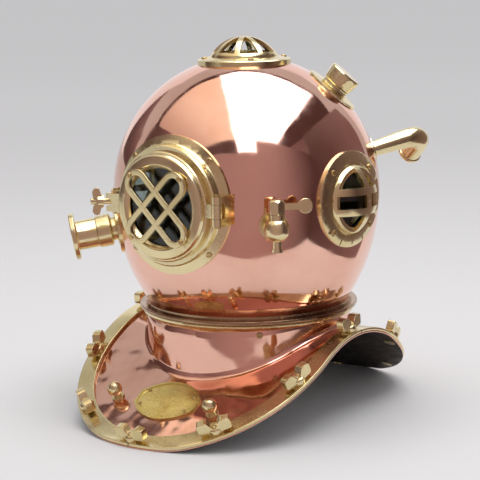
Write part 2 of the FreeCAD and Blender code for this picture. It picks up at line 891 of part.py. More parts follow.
def front_window_seat():
    """Flange on the dome with a raised seat ring, hinge ears and swing bolt ears."""
    flange = rod(front_flange_radius, 100, 200).common(local_dome(front_flange_thickness))
    reach = seat_fillet_reach
    foot = seat_outer_radius + reach
    foot_d = math.sqrt((dome_radius + front_flange_thickness) ** 2 - foot ** 2) - seat_foot_depth
    outline = [(seat_inner_radius, 120), (foot, 120)]
    for index in range(7):
        angle = index * math.pi / 12.0
        outline.append((foot - reach * math.sin(angle), foot_d + 2.0 * reach * (1.0 - math.cos(angle))))
    outline += [
        (seat_outer_radius, seat_face - seat_chamfer), (seat_outer_radius - seat_chamfer, seat_face),
        (seat_inner_radius, seat_face),
    ]
    solid = fused([flange, revolved(outline)] + hinge_ears() + swing_ears()).cut(local_dome(0.0))
    groove_outer = seat_gasket_inner + seat_gasket_width
    solid = cut_all(solid, [
        rod(seat_inner_radius, 90, 210),
        tube(groove_outer, seat_gasket_inner, seat_face - seat_gasket_depth, seat_face + 1),
        upright(hinge_pin_radius, hinge_x, hinge_d, -40, 40),
        upright(swing_pin_radius, swing_x, swing_d, -40, 40),
        upright(swing_eye_radius + turn_clearance, swing_x, swing_d, -swing_ear_low, swing_ear_low),
    ])
    solid = cut_all(at_front(solid), front_screw_shanks)
    return cut_all(solid, on_flange(rod(screw_head_radius + turn_clearance, 0, 12)))


def front_window_screws():
    shape = screw(screw_head_radius, screw_head_height, screw_shank_radius, front_screw_length)
    return Part.Compound(on_flange(shape))


def door_hinge_pin():
    top = hinge_ear_high + hinge_pin_head_height
    return at_front(fused([
        upright(hinge_pin_radius, hinge_x, hinge_d, -hinge_ear_high, hinge_ear_high),
        upright(hinge_pin_head_radius, hinge_x, hinge_d, hinge_ear_high, top),
        upright(hinge_pin_head_radius, hinge_x, hinge_d, -top, -hinge_ear_high),
    ]))


def swing_bolt_pin():
    top = swing_ear_high + hinge_pin_head_height
    return at_front(fused([
        upright(swing_pin_radius, swing_x, swing_d, -swing_ear_high, swing_ear_high),
        upright(swing_pin_head_radius, swing_x, swing_d, swing_ear_high, top),
        upright(swing_pin_head_radius, swing_x, swing_d, -top, -swing_ear_high),
    ]))


def door_gasket():
    outer = seat_gasket_inner + seat_gasket_width
    return at_front(tube(outer, seat_gasket_inner, seat_face - seat_gasket_depth, seat_face + door_gap / 2))


lip_low = face_top - door_lip_height
rim_top = door_back + door_rim_height
glass_radius = door_pocket_radius - gasket_wall
grille_screw_radius = grille_loop_reach + grille_loop_radius
grille_screw_length = grille_height + grille_stand + grille_screw_grip


def door_ring():
    """Round frame, raised towards the glass."""
    return revolved([
        (door_pocket_radius, door_back), (door_radius, door_back), (door_radius, rim_top - 1.5),
        (door_radius - 1.5, rim_top), (door_face_outer + 0.8, rim_top), (door_face_outer, rim_top + 2.5),
        (door_face_outer - 1.0, face_top - 2.0), (door_face_outer - 2.5, face_top - 1.2),
        (door_face_inner + 1.0, face_top), (door_face_inner - 0.5, face_top - 0.8),
        (door_bore_radius, lip_low + 1.2), (door_bore_radius, lip_low), (door_pocket_radius, lip_low),
    ])


def door_frame():
    """The ring with its hinge lug and the fork for the swing bolt."""
    lug = hinge_lug_half_height
    fork_low = swing_d + swing_eye_radius + 0.5
    high = swing_d + fork_top
    half = fork_half_height
    toe = block(swing_x - fork_reach, swing_x, -half, half, fork_low, high)
    slot = swing_bolt_radius + fork_slot_clearance
    frame = fused([
        door_ring(), block(door_radius - 3, hinge_x, -lug, lug, door_back + 0.5, rim_top - 0.5),
        upright(hinge_barrel_radius, hinge_x, hinge_d, -lug, lug),
        block(swing_x, -door_radius + 3, -half, half, fork_low, high),
        toe.common(upright(fork_top, swing_x, swing_d, -half, half)),
    ])
    frame = cut_all(frame, [
        block(swing_x - 20, swing_x, -slot, slot, 100, 300),
        rod(slot, 100, 300).translated(Vector(swing_x, 0, 0)),
        upright(hinge_pin_radius + hinge_running, hinge_x, hinge_d, -40, 40),
    ])
    holes = diagonals(rod(screw_shank_radius, -grille_screw_grip, 4), grille_screw_radius, face_top)
    return at_front(cut_all(frame, holes))


def channel(outer, low_z):
    """Rubber ring of channel section round a glass, and the glass."""
    high_z = low_z + glass_thickness + 2 * gasket_wall
    inner = outer - gasket_wall
    glass = rod(inner, low_z + gasket_wall, high_z - gasket_wall)
    return tube(outer, inner - gasket_cover, low_z, high_z).cut(glass), glass


def track(reach, radius, low, high):
    """Racetrack block along X."""
    edges = [
        Part.makeLine(Vector(-reach, radius, low), Vector(reach, radius, low)),
        Part.Arc(Vector(reach, radius, low), Vector(reach + radius, 0, low), Vector(reach, -radius, low)).toShape(),
        Part.makeLine(Vector(reach, -radius, low), Vector(-reach, -radius, low)),
        Part.Arc(Vector(-reach, -radius, low), Vector(-reach - radius, 0, low),
                 Vector(-reach, radius, low)).toShape(),
    ]
    return Part.Face(wire(edges)).extrude(Vector(0, 0, high - low))


def door_grille():
    """Two crossed racetrack loops on four posts."""
    low = face_top + grille_stand
    high = low + grille_height
    half = grille_bar / 2.0
    loop = track(grille_loop_reach, grille_loop_radius + half, low, high)
    loop = loop.cut(track(grille_loop_reach, grille_loop_radius - half, low, high))
    edges = [e for e in loop.Edges if e.BoundBox.ZLength < 0.01 and abs(e.BoundBox.ZMax - high) < 0.01]
    loop = loop.makeFillet(grille_height * 0.3, edges)
    posts = diagonals(rod(half + 0.4, -grille_stand - 5, 0.5), grille_screw_radius, low)
    grille = fused([turned(loop, 45), turned(loop, -45)] + posts).cut(door_ring())
    return at_front(cut_all(grille, diagonals(rod(screw_shank_radius, -20, 20), grille_screw_radius, low)))


def door_grille_screws():
    top = face_top + grille_stand + grille_height
    shape = screw(grille_screw_head, screw_head_height, screw_shank_radius, grille_screw_length)
    return Part.Compound([at_front(s) for s in diagonals(shape, grille_screw_radius, top)])


def swung(shape):
    """Place a shape built along the bolt, Z outwards from the pivot, at the rest angle."""
    copy = turned(shape, -swing_rest_angle, Vector(0, 0, 0), Vector(0, 1, 0))
    return at_front(copy.translated(Vector(swing_x, 0, swing_d)))


def swing_bolt():
    half = swing_eye_half_height
    shank = rod(swing_bolt_radius, 0, swing_bolt_length)
    shank = shank.makeChamfer(0.8, top_edges(shank, swing_bolt_length))
    bolt = fused([upright(swing_eye_radius, 0, 0, -half, half), shank])
    return swung(bolt.cut(upright(swing_pin_radius + hinge_running, 0, 0, -20, 20)))


def door_wing_nut():
    nut = wing_nut(door_nut_half_span, door_nut_height, door_nut_half_thickness, door_nut_hub_radius)
    return swung(turned(nut, 90.0).translated(Vector(0, 0, fork_top + door_nut_gap)))


# Side and top lights

guard_sphere = (light_guard_radius ** 2 + guard_height ** 2) / (2.0 * guard_height)
guard_centre = Vector(0, 0, light_face + guard_height - guard_sphere)
guard_top = light_face + guard_height + 5
light_slope = math.atan2(light_shoulder - light_edge, light_flange_radius - 1.0 - light_inner_radius)
light_screw_z = light_edge + (light_flange_radius - 1.0 - light_screw_radius) * math.tan(light_slope)
light_screw_holes = diagonals(rod(screw_shank_radius, -light_screw_length, 6), light_screw_radius,
                              light_screw_z, math.degrees(light_slope))


def light_frame(place, bars):
    """Flange on the dome, sleeve through its hole, and a domed guard made of the bars given."""
    body = revolved([
        (light_bore_radius, light_lip), (light_pocket_radius, light_lip), (light_pocket_radius, 140),
        (light_flange_radius, 140), (light_flange_radius, light_edge - 1.0),
        (light_flange_radius - 1.0, light_edge), (light_inner_radius, light_shoulder),
        (light_guard_radius + 1.2, light_shoulder - 1.0), (light_guard_radius, light_shoulder - 0.6),
        (light_guard_radius, light_face), (light_bore_radius, light_face),
    ])
    flange = cut_all(place(body).cut(dome_big), [place(hole) for hole in light_screw_holes])
    sleeve = place(tube(light_sleeve_radius, light_pocket_radius, light_sleeve_end, light_lip + 1))
    cage = Part.makeSphere(guard_sphere, guard_centre)
    cage = cage.cut(Part.makeSphere(guard_sphere - guard_thickness, guard_centre))
    cage = cage.common(rod(light_guard_radius, light_face - 1.0, guard_top))
    pattern = rod(light_guard_radius + 1, light_face - 1, light_face + guard_rim_height)
    for bar in bars:
        pattern = pattern.fuse(bar)
    return fused([flange, sleeve, place(cage.common(pattern))])


def side_bars():
    half = guard_bar / 2
    bars = [block(-half, half, -far, far, light_face - 1, guard_top)]
    for y in (-guard_bar_offset, guard_bar_offset):
        bars.append(block(-far, far, y - half, y + half, light_face - 1, guard_top))
    return bars


def top_bars():
    spoke = block(0, far, -spoke_width / 2, spoke_width / 2, light_face - 1, guard_top)
    spokes = [turned(spoke, spoke_start + i * 360.0 / spoke_count) for i in range(spoke_count)]
    return [rod(spoke_hub_radius, light_face - 1, guard_top)] + spokes


def light_screws(place):
    shape = screw(light_screw_head, screw_head_height, screw_shank_radius, light_screw_length)
    copies = diagonals(shape, light_screw_radius, light_screw_z, math.degrees(light_slope))
    return Part.Compound([place(copy) for copy in copies])


# Exhaust spool

def exhaust_body():
    neck_end = exhaust_neck_length
    body = revolved([
        (0, -10), (exhaust_neck_radius, -10), (exhaust_neck_radius, neck_end - 1.5),
        (exhaust_body_radius - 1.0, neck_end), (exhaust_body_radius, neck_end + 1.0),
        (exhaust_body_radius, exhaust_body_end), (0, exhaust_body_end),
    ])
    base = saddle(exhaust_base_radius, exhaust_base_thickness, exhaust_point, exhaust_axis)
    body = at_exhaust(body).cut(dome_big).fuse(base).removeSplitter()
    bores = [
        rod(exhaust_seat_radius, -30, exhaust_seat_at),
        rod(exhaust_chamber_radius, exhaust_seat_at, exhaust_chamber_end),
        rod(exhaust_spindle_radius + hinge_running, 0, exhaust_body_end + 1),
    ]
    return cut_all(body, [at_exhaust(bore) for bore in bores])


def exhaust_wheel():
    low = exhaust_body_end + exhaust_wheel_gap
    flange_low = exhaust_length - exhaust_flange_thickness
    recess = exhaust_length - exhaust_recess_depth
    wheel = revolved([
        (0, low), (exhaust_wheel_radius - 0.6, low), (exhaust_wheel_radius, low + 0.6),
        (exhaust_wheel_radius, flange_low - 1.5), (exhaust_wheel_radius + 1.5, flange_low),
        (exhaust_flange_radius - 0.8, flange_low), (exhaust_flange_radius, flange_low + 0.8),
        (exhaust_flange_radius, exhaust_length - 0.8), (exhaust_flange_radius - 0.8, exhaust_length),
        (exhaust_recess_radius, exhaust_length), (exhaust_recess_radius - 2, recess), (0, recess),
    ])
    wheel = fused([wheel, rod(exhaust_spindle_radius, exhaust_spindle_inner, low + 1)])
    return at_exhaust(wheel.cut(rod(exhaust_stem_radius + hinge_running, 0, exhaust_stem_bore_end)))


def exhaust_disc():
    low = exhaust_seat_at + exhaust_seat_gap
    disc = rod(exhaust_disc_radius, low, low + exhaust_disc_thickness)
    return at_exhaust(fused([disc, rod(exhaust_stem_radius, low, exhaust_stem_end)]))


# Spitcock

def spitcock_body():
    base = saddle(spit_base_radius, spit_base_thickness, spit_point, spit_axis)
    neck = at_spit_neck(rod(spit_neck_radius, -8, spit_ball_at)).cut(dome_big)
    ball = Part.makeSphere(spit_ball_radius, spit_ball)
    spout = fused([
        rod(spit_collar_radius, 0, spit_collar_height), rod(spit_spout_radius, -spit_spout_length, 0),
        rod(spit_spout_radius + 1.2, -spit_spout_length, -spit_spout_length + 4),
    ])
    body = fused([neck, base, ball, at_spit(spout)])
    return cut_all(body, [
        at_spit(rod(spit_plug_radius + hinge_running, -spit_plug_depth, spit_collar_height + 1)),
        at_spit(rod(spit_spout_bore, -spit_spout_length - 1, 0)),
        at_spit_neck(rod(spit_spout_bore, -20, spit_ball_at)),
    ])


def spitcock_lever():
    """Plug with a hexagon cap and a paddle lever along the dome."""
    low = spit_collar_height + spit_cap_gap
    corners = [direction(60.0 * i, 0) * spit_cap_radius + Vector(0, 0, low) for i in range(7)]
    cap = Part.Face(Part.makePolygon(corners)).extrude(Vector(0, 0, spit_cap_top - low))
    crown = revolved([
        (0, low), (spit_cap_radius - 0.8, low), (spit_cap_radius, low + 2), (spit_cap_radius, spit_cap_top - 3),
        (spit_cap_radius - 2.5, spit_cap_top), (0, spit_cap_top),
    ])
    middle = (low + spit_cap_top) / 2.0
    half = lever_thickness / 2.0
    neck_half = lever_neck_width / 2.0
    paddle_x = lever_length - lever_paddle_radius
    paddle = Part.makeCylinder(lever_paddle_radius, lever_thickness, Vector(paddle_x, -half, middle),
                               Vector(0, 1, 0))
    paddle = paddle.makeFillet(1.2, [e for e in paddle.Edges if e.BoundBox.YLength < 0.01])
    return at_spit(fused([
        rod(spit_plug_radius, -spit_plug_depth + hinge_side_gap, low + 1), cap.common(crown),
        block(0, paddle_x, -half, half, middle - neck_half, middle + neck_half), paddle,
    ]))


# Plug, upper back left

def plug_flange():
    point = dome_centre + plug_axis * dome_radius
    base = saddle(plug_flange_radius, plug_flange_thickness, point, plug_axis)
    hub = at_plug(rod(plug_hub_radius, -10, plug_hub_height)).cut(dome_big)
    return fused([base, hub]).cut(at_plug(rod(plug_shank_radius + hinge_running, -20, 20)))


def plug_cap():
    low = plug_hub_height + plug_cap_gap
    top = low + plug_cap_height
    cap = revolved([
        (0, low), (plug_cap_base_radius - 1.2, low), (plug_cap_base_radius - 1.2, low + 2.5),
        (plug_cap_base_radius, low + 3.2), (plug_cap_top_radius, top - plug_edge),
        (plug_cap_top_radius - plug_edge, top), (0, top),
    ])
    return at_plug(fused([cap, rod(plug_shank_radius, plug_hub_height - plug_shank_length, low + 1)]))


# Air inlet elbow

def air_elbow():
    """Flared arm out of the dome, a bend, and a beaded mouth with a hose socket."""
    turn = math.radians(elbow_bend_angle)
    bend_centre = Vector(elbow_bend_radius, 0, elbow_arm_length)
    mouth = bend_centre + Vector(-math.cos(turn), 0, math.sin(turn)) * elbow_bend_radius
    heading = Vector(math.sin(turn), 0, math.cos(turn))

    def bend(radius):
        circle = Part.Circle(Vector(0, 0, elbow_arm_length), up, radius).toShape()
        return Part.Face(Part.Wire([circle])).revolve(bend_centre, Vector(0, 1, 0), elbow_bend_angle)

    def at_mouth(shape):
        return placed(shape, mouth, Vector(0, 1, 0), heading)

    arm = Part.makeCone(elbow_root_radius, elbow_tube_radius, elbow_arm_length)
    root = rod(elbow_root_radius, -10, 0)
    long = elbow_mouth_length
    horn = revolved([
        (0, 0), (elbow_tube_radius, 0), (elbow_mouth_radius - 1.5, long - elbow_bead_length),
        (elbow_mouth_radius, long - elbow_bead_length + 0.8), (elbow_mouth_radius, long - 0.8),
        (elbow_mouth_radius - 0.8, long), (0, long),
    ])
    point = dome_centre + elbow_axis * dome_radius
    base = saddle(elbow_base_radius, elbow_base_thickness, point, elbow_axis)
    tube_solid = at_elbow(fused([arm, root, bend(elbow_tube_radius), at_mouth(horn)])).cut(dome_big)
    return cut_all(fused([tube_solid, base]), [
        at_elbow(rod(elbow_bore_radius, -12, elbow_arm_length)), at_elbow(bend(elbow_bore_radius)),
        at_elbow(at_mouth(rod(elbow_bore_radius, 0, long))),
        at_elbow(at_mouth(rod(elbow_socket_radius, long - elbow_socket_depth, long + 1))),
    ])


# Save every part in the shared frame

save("breastplate_shell", breastplate_shell())
save("neck_ring", neck_ring())
save("neck_gasket", gasket_ring(0.0))
save("neck_ring_screws", neck_ring_screws())
for name, strap in straps().items():
    save(name, strap)
save("clamp_studs", clamp_studs())
clamp_nut = wing_nut(clamp_nut_half_span, clamp_nut_height, clamp_nut_half_thickness, clamp_nut_hub_radius)
for index, nut in enumerate(on_studs(clamp_nut, strap_height + joint_gap)):
    save("wing_nut_%02d" % (index + 1), nut)
save("nameplate", nameplate())
save("nameplate_rivets", nameplate_rivets())
save("ball_studs", ball_studs())

save("bonnet_shell", bonnet_shell())
save("bonnet_ring", bonnet_ring())
save("bonnet_ring_pins", bonnet_ring_pins())
save("front_window_seat", front_window_seat())
save("front_window_screws", front_window_screws())
save("door_hinge_pin", door_hinge_pin())
save("swing_bolt_pin", swing_bolt_pin())
save("door_gasket", door_gasket())

glass_gasket, glass = channel(door_pocket_radius, lip_low - glass_thickness - 2 * gasket_wall)
save("door_frame", door_frame())
save("door_glass", at_front(glass))
save("door_glass_gasket", at_front(glass_gasket))
save("door_grille", door_grille())
save("door_grille_screws", door_grille_screws())
save("swing_bolt", swing_bolt())
save("door_wing_nut", door_wing_nut())

light_gasket, light_glass = channel(light_pocket_radius, light_lip - glass_thickness - 2 * gasket_wall)
lights = (
    ("side_light", "_left", at_left, side_bars()), ("side_light", "_right", at_right, side_bars()),
    ("top_light", "", at_top, top_bars()),
)
for kind, side, place, bars in lights:
    save(kind + "_frame" + side, light_frame(place, bars))
    save(kind + "_glass" + side, place(light_glass))
    save(kind + "_gasket" + side, place(light_gasket))
    save(kind + "_screws" + side, light_screws(place))

save("exhaust_body", exhaust_body())
save("exhaust_wheel", exhaust_wheel())
save("exhaust_disc", exhaust_disc())
save("spitcock_body", spitcock_body())
save("spitcock_lever", spitcock_lever())
save("plug_flange", plug_flange())
save("plug_cap", plug_cap())
save("air_elbow", air_elbow())
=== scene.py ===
"""Copper diving helmet with brass fittings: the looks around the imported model."""

import json
import math

import bmesh
import bpy
from mathutils import Matrix, Vector


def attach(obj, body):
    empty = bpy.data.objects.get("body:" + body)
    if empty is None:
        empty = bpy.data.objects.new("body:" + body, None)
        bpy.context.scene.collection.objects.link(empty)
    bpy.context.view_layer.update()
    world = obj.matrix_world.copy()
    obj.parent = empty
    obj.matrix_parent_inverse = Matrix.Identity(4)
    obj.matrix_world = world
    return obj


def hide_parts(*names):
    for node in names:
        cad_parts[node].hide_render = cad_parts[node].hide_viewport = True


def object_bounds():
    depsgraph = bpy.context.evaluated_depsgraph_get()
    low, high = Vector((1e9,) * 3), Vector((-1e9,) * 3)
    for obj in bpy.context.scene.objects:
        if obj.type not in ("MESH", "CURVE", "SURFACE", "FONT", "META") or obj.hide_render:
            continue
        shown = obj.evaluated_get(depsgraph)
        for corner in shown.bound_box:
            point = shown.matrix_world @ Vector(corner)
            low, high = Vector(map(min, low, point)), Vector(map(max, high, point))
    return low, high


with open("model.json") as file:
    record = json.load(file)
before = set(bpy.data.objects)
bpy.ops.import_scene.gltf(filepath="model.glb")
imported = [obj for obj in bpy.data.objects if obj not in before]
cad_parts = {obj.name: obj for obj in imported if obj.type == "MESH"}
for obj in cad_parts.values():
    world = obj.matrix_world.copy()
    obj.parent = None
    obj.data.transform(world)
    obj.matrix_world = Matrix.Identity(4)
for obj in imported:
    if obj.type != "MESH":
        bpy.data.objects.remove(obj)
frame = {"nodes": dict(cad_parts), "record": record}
cad_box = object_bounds()
nodes = frame["nodes"]
body_of_node = {n: body for body, names in frame["record"]["behaviour"]["bodies"].items() for n in names}

MM = 0.001

# Main sizes of the helmet, in millimetres
DOME_R = 165.0
DOME_LOW = 208.0
DOME_Z = 144.5
DOME_SEAT_Z = 3.0
DOME_WALL = 1.6
DOOR_HOLE_R = 56.0
LIGHT_HOLE_R = 39.9
LIGHT_ANGLE = 85.35
COLLAR_R = 128.0
COLLAR_TOP_Z = -5.0
COLLAR_FILLET = 6.0
SHOULDER_Z = -19.5
SHOULDER_WALL = 2.0
HALF_WIDTH = 166.0
FRONT_LENGTH = 244.0
BACK_LENGTH = 222.0
SHOULDER_ARC = 152.0
LOBE_ARC = 35.0
FRONT_SLOPE = math.radians(28.0)
RIM_SETBACK = 0.3
STRAP_WIDTH = 21.0
STRAP_HEIGHT = 4.0
STRAP_SOFTNESS = 0.22
STRAP_END_SHARE = 0.002
NUT_COUNT = 12
NUT_LIFT = 4.1

UP = Vector((0, 0, 1))
DOME_CENTRE = Vector((0, 0, DOME_Z))
UNMOVED = Matrix.Identity(4)


# Places on the helmet

def outward(angle):
    """Level direction at an angle from the face towards the diver's left."""
    a = math.radians(angle)
    return Vector((math.sin(a), -math.cos(a), 0))


def sideways(angle):
    """Level direction a quarter turn further round than outward."""
    a = math.radians(angle)
    return Vector((math.cos(a), math.sin(a), 0))


def place(origin, x_axis, z_axis):
    """Matrix from a piece's own axes to the helmet's."""
    z = z_axis.normalized()
    x = (x_axis - z * x_axis.dot(z)).normalized()
    y = z.cross(x)
    matrix = Matrix((x, y, z)).transposed().to_4x4()
    matrix.translation = origin
    return matrix


FRONT = place(DOME_CENTRE, sideways(0), outward(0))
LEFT = place(DOME_CENTRE, sideways(LIGHT_ANGLE), outward(LIGHT_ANGLE))
RIGHT = place(DOME_CENTRE, sideways(-LIGHT_ANGLE), outward(-LIGHT_ANGLE))
TOP = place(DOME_CENTRE, sideways(0), UP)

ARCH_Z = SHOULDER_Z - SHOULDER_ARC
ARCH_REACH = SHOULDER_ARC + LOBE_ARC
FRONT_RUN = (FRONT_LENGTH - ARCH_REACH * math.sin(FRONT_SLOPE)) / math.cos(FRONT_SLOPE)
LOBE_RISE = ARCH_REACH * math.cos(FRONT_SLOPE) - FRONT_RUN * math.sin(FRONT_SLOPE)
BACK_RUN = math.sqrt(LOBE_RISE ** 2 + BACK_LENGTH ** 2 - ARCH_REACH ** 2)
BACK_SLOPE = math.atan2(BACK_LENGTH, LOBE_RISE) - math.atan2(BACK_RUN, ARCH_REACH)
FRONT_END = FRONT_LENGTH - HALF_WIDTH
BACK_END = BACK_LENGTH - HALF_WIDTH
LOBE_Z = ARCH_Z + LOBE_RISE


def arch(y):
    """Height of the breastplate's surface and its downhill angle, front or back."""
    away = abs(y)
    slope, length = (BACK_SLOPE, BACK_LENGTH) if y > 0 else (FRONT_SLOPE, FRONT_LENGTH)
    arc_end = SHOULDER_ARC * math.sin(slope)
    if away <= arc_end:
        height = ARCH_Z + math.sqrt(SHOULDER_ARC ** 2 - away ** 2)
        angle = math.asin(away / SHOULDER_ARC)
    elif away <= length - LOBE_ARC * math.sin(slope):
        height = ARCH_Z + SHOULDER_ARC * math.cos(slope) - (away - arc_end) * math.tan(slope)
        angle = slope
    else:
        before_tip = max(0.0, length - away)
        height = LOBE_Z - math.sqrt(LOBE_ARC ** 2 - before_tip ** 2)
        angle = math.asin(before_tip / LOBE_ARC)
    return height, math.copysign(angle, y)


def rim_point(share, inset):
    """Point on the breastplate's outline, drawn in, at a share of the way round from the front."""
    radius = HALF_WIDTH - inset
    bend = math.pi * radius / 2.0
    half_way = 2.0 * bend + FRONT_END + BACK_END
    along = (share % 1.0) * 2.0 * half_way
    side = 1 if along <= half_way else -1
    along = min(along, 2.0 * half_way - along)
    end = -1
    middle = FRONT_END
    if along > bend + FRONT_END:
        end = 1
        middle = BACK_END
        along = half_way - along
    turn = min(along, bend) / radius
    y = end * (middle + radius * math.cos(turn) - max(0.0, along - bend))
    return Vector((side * radius * math.sin(turn), y))


def side_share(inset):
    """Share of the way round at which the outline reaches the diver's left side."""
    bend = math.pi * (HALF_WIDTH - inset) / 2.0
    return (bend + FRONT_END) / (4.0 * bend + 2.0 * (FRONT_END + BACK_END))


def over_arch(x, y, lift):
    """Point over the breastplate's surface, lifted along its normal."""
    height, angle = arch(y)
    return Vector((x, y + lift * math.sin(angle), height + lift * math.cos(angle)))


def arch_place(x, y, along, lift):
    """Matrix that stands a piece on the breastplate, its X axis along the given direction."""
    angle = arch(y)[1]
    return place(over_arch(x, y, lift), along, Vector((0, math.sin(angle), math.cos(angle))))


# Making meshes

SAME_POINT = 0.001
SHARP_PIECE = math.radians(40)
SHARP_NODE = math.radians(32)
BEVEL_FROM = math.radians(35)


def lathe(bm, outline, steps):
    """Turn a closed outline of (radius, height) about Z."""
    verts = [bm.verts.new((radius, 0, height)) for radius, height in outline]
    edges = [bm.edges.new((verts[i - 1], verts[i])) for i in range(len(verts))]
    bmesh.ops.spin(bm, geom=verts + edges, cent=(0, 0, 0), axis=(0, 0, 1), angle=math.tau, steps=steps,
                   use_merge=True)
    bmesh.ops.remove_doubles(bm, verts=bm.verts, dist=SAME_POINT)


def rounded(outline, radius, steps=3):
    """Round the corners of an outline of (radius, height) points, except on the axis."""
    result = []
    for i, (r, z) in enumerate(outline):
        if r == 0:
            result.append((r, z))
            continue
        here = Vector((r, z))
        before = Vector(outline[i - 1]) - here
        after = Vector(outline[(i + 1) % len(outline)]) - here
        reach = min(radius, before.length * 0.45, after.length * 0.45)
        first = here + before.normalized() * reach
        last = here + after.normalized() * reach
        for step in range(steps + 1):
            t = step / steps
            point = first * (1 - t) ** 2 + here * 2 * t * (1 - t) + last * t ** 2
            result.append((point.x, point.y))
    return result


def sheet_of(bm, across, around, shape):
    """Grid of faces whose points are put in place by shape(u, v), u across and v around."""
    made = bmesh.ops.create_grid(bm, x_segments=across, y_segments=around, size=0.5)
    for vert in made["verts"]:
        vert.co = shape(vert.co.x + 0.5, vert.co.y + 0.5)
    bmesh.ops.remove_doubles(bm, verts=bm.verts, dist=SAME_POINT)


def soft_square(share, softness):
    """Point on a square with soft corners, at a share of the way round, each side 1 from the middle."""
    c = math.cos(math.tau * share)
    s = math.sin(math.tau * share)
    return math.copysign(abs(c) ** softness, c), math.copysign(abs(s) ** softness, s)


def object_from(name, bm):
    """Object in the scene with the mesh of a bmesh, which is freed."""
    mesh = bpy.data.meshes.new(name)
    bm.to_mesh(mesh)
    bm.free()
    item = bpy.data.objects.new(name, mesh)
    bpy.context.scene.collection.objects.link(item)
    return item


def piece(name, parts, material, node_names, bevel=0.0, inner=None, wall=0.0):
    """Join (build function, matrix) parts into one object that stands for CAD nodes."""
    whole = bmesh.new()
    for build, matrix in parts:
        bm = bmesh.new()
        build(bm)
        if not wall:
            bmesh.ops.recalc_face_normals(bm, faces=bm.faces)
        bmesh.ops.transform(bm, matrix=Matrix.Scale(MM, 4) @ matrix, verts=bm.verts)
        part = bpy.data.meshes.new("part")
        bm.to_mesh(part)
        bm.free()
        whole.from_mesh(part)
        bpy.data.meshes.remove(part)
    item = object_from(name, whole)
    item.data.shade_smooth()
    item.data.set_sharp_from_angle(angle=SHARP_PIECE)
    return dressed(item, material, node_names, bevel, inner, wall)


def dressed(item, material, node_names, bevel, inner=None, wall=0.0):
    """Give a piece its material, its wall and soft edges, and the body that carries it."""
    mesh = item.data
    mesh.materials.clear()
    mesh.materials.append(material)
    if wall:
        mesh.materials.append(inner)
        solid = item.modifiers.new("wall", "SOLIDIFY")
        solid.thickness = wall * MM
        solid.offset = -1.0
        solid.material_offset = 1
        solid.material_offset_rim = 0
    if bevel:
        edge = item.modifiers.new("edge", "BEVEL")
        edge.width = bevel * MM
        edge.segments = 3
        edge.limit_method = "ANGLE"
        edge.angle_limit = BEVEL_FROM
        edge.harden_normals = True
    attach(item, body_of_node[node_names[0]])
    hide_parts(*node_names)
    return item


def softened(node, material, bevel=0.35):
    """A copy of a CAD node with merged faces and rounded edges."""
    bm = bmesh.new()
    bm.from_mesh(nodes[node].data)
    bmesh.ops.remove_doubles(bm, verts=bm.verts, dist=1e-6)
    bmesh.ops.dissolve_limit(bm, angle_limit=math.radians(0.4), verts=bm.verts, edges=bm.edges)
    item = object_from(node + "_soft", bm)
    item.data.shade_smooth()
    item.data.set_sharp_from_angle(angle=SHARP_NODE)
    dressed(item, material, [node], bevel)


def apply_modifiers(item):
    """Keep the finished shape and drop the modifiers that made it."""
    graph = bpy.context.evaluated_depsgraph_get()
    mesh = bpy.data.meshes.new_from_object(item.evaluated_get(graph), depsgraph=graph)
    item.modifiers.clear()
    item.data = mesh


# Materials

def new_material(name):
    """Material with its node tree and its shader."""
    material = bpy.data.materials.new(name)
    material.use_nodes = True
    tree = material.node_tree
    return material, tree, tree.nodes["Principled BSDF"]


def object_noise(tree, scale, detail, stretch=(1, 1, 1), seed=0.0):
    """Noise in the piece's own space, moved by its seed."""
    coordinates = tree.nodes.new("ShaderNodeTexCoord")
    mapping = tree.nodes.new("ShaderNodeMapping")
    mapping.inputs["Scale"].default_value = stretch
    mapping.inputs["Location"].default_value = (seed, seed * 0.7, seed * 1.3)
    noise = tree.nodes.new("ShaderNodeTexNoise")
    noise.inputs["Scale"].default_value = scale
    noise.inputs["Detail"].default_value = detail
    tree.links.new(coordinates.outputs["Object"], mapping.inputs["Vector"])
    tree.links.new(mapping.outputs["Vector"], noise.inputs["Vector"])
    return noise.outputs["Fac"]


def spread(tree, source, low, high, to_low, to_high):
    """Map one range of values to another, softly at both ends."""
    node = tree.nodes.new("ShaderNodeMapRange")
    node.interpolation_type = "SMOOTHSTEP"
    for key, value in (("From Min", low), ("From Max", high), ("To Min", to_low), ("To Max", to_high)):
        node.inputs[key].default_value = value
    tree.links.new(source, node.inputs["Value"])
    return node.outputs["Result"]


def blend_colours(tree, factor, first, second):
    """Mix two colours by a factor."""
    node = tree.nodes.new("ShaderNodeMix")
    node.data_type = "RGBA"
    tree.links.new(factor, node.inputs["Factor"])
    for socket, colour in ((node.inputs[6], first), (node.inputs[7], second)):
        socket.default_value = (*colour, 1.0)
    return node.outputs[2]


def bumps(tree, shader, layers):
    """Stack bump layers of (height source, strength, distance)."""
    normal = None
    for source, strength, distance in layers:
        node = tree.nodes.new("ShaderNodeBump")
        node.inputs["Strength"].default_value = strength
        node.inputs["Distance"].default_value = distance
        tree.links.new(source, node.inputs["Height"])
        if normal is not None:
            tree.links.new(normal, node.inputs["Normal"])
        normal = node.outputs["Normal"]
    tree.links.new(normal, shader.inputs["Normal"])


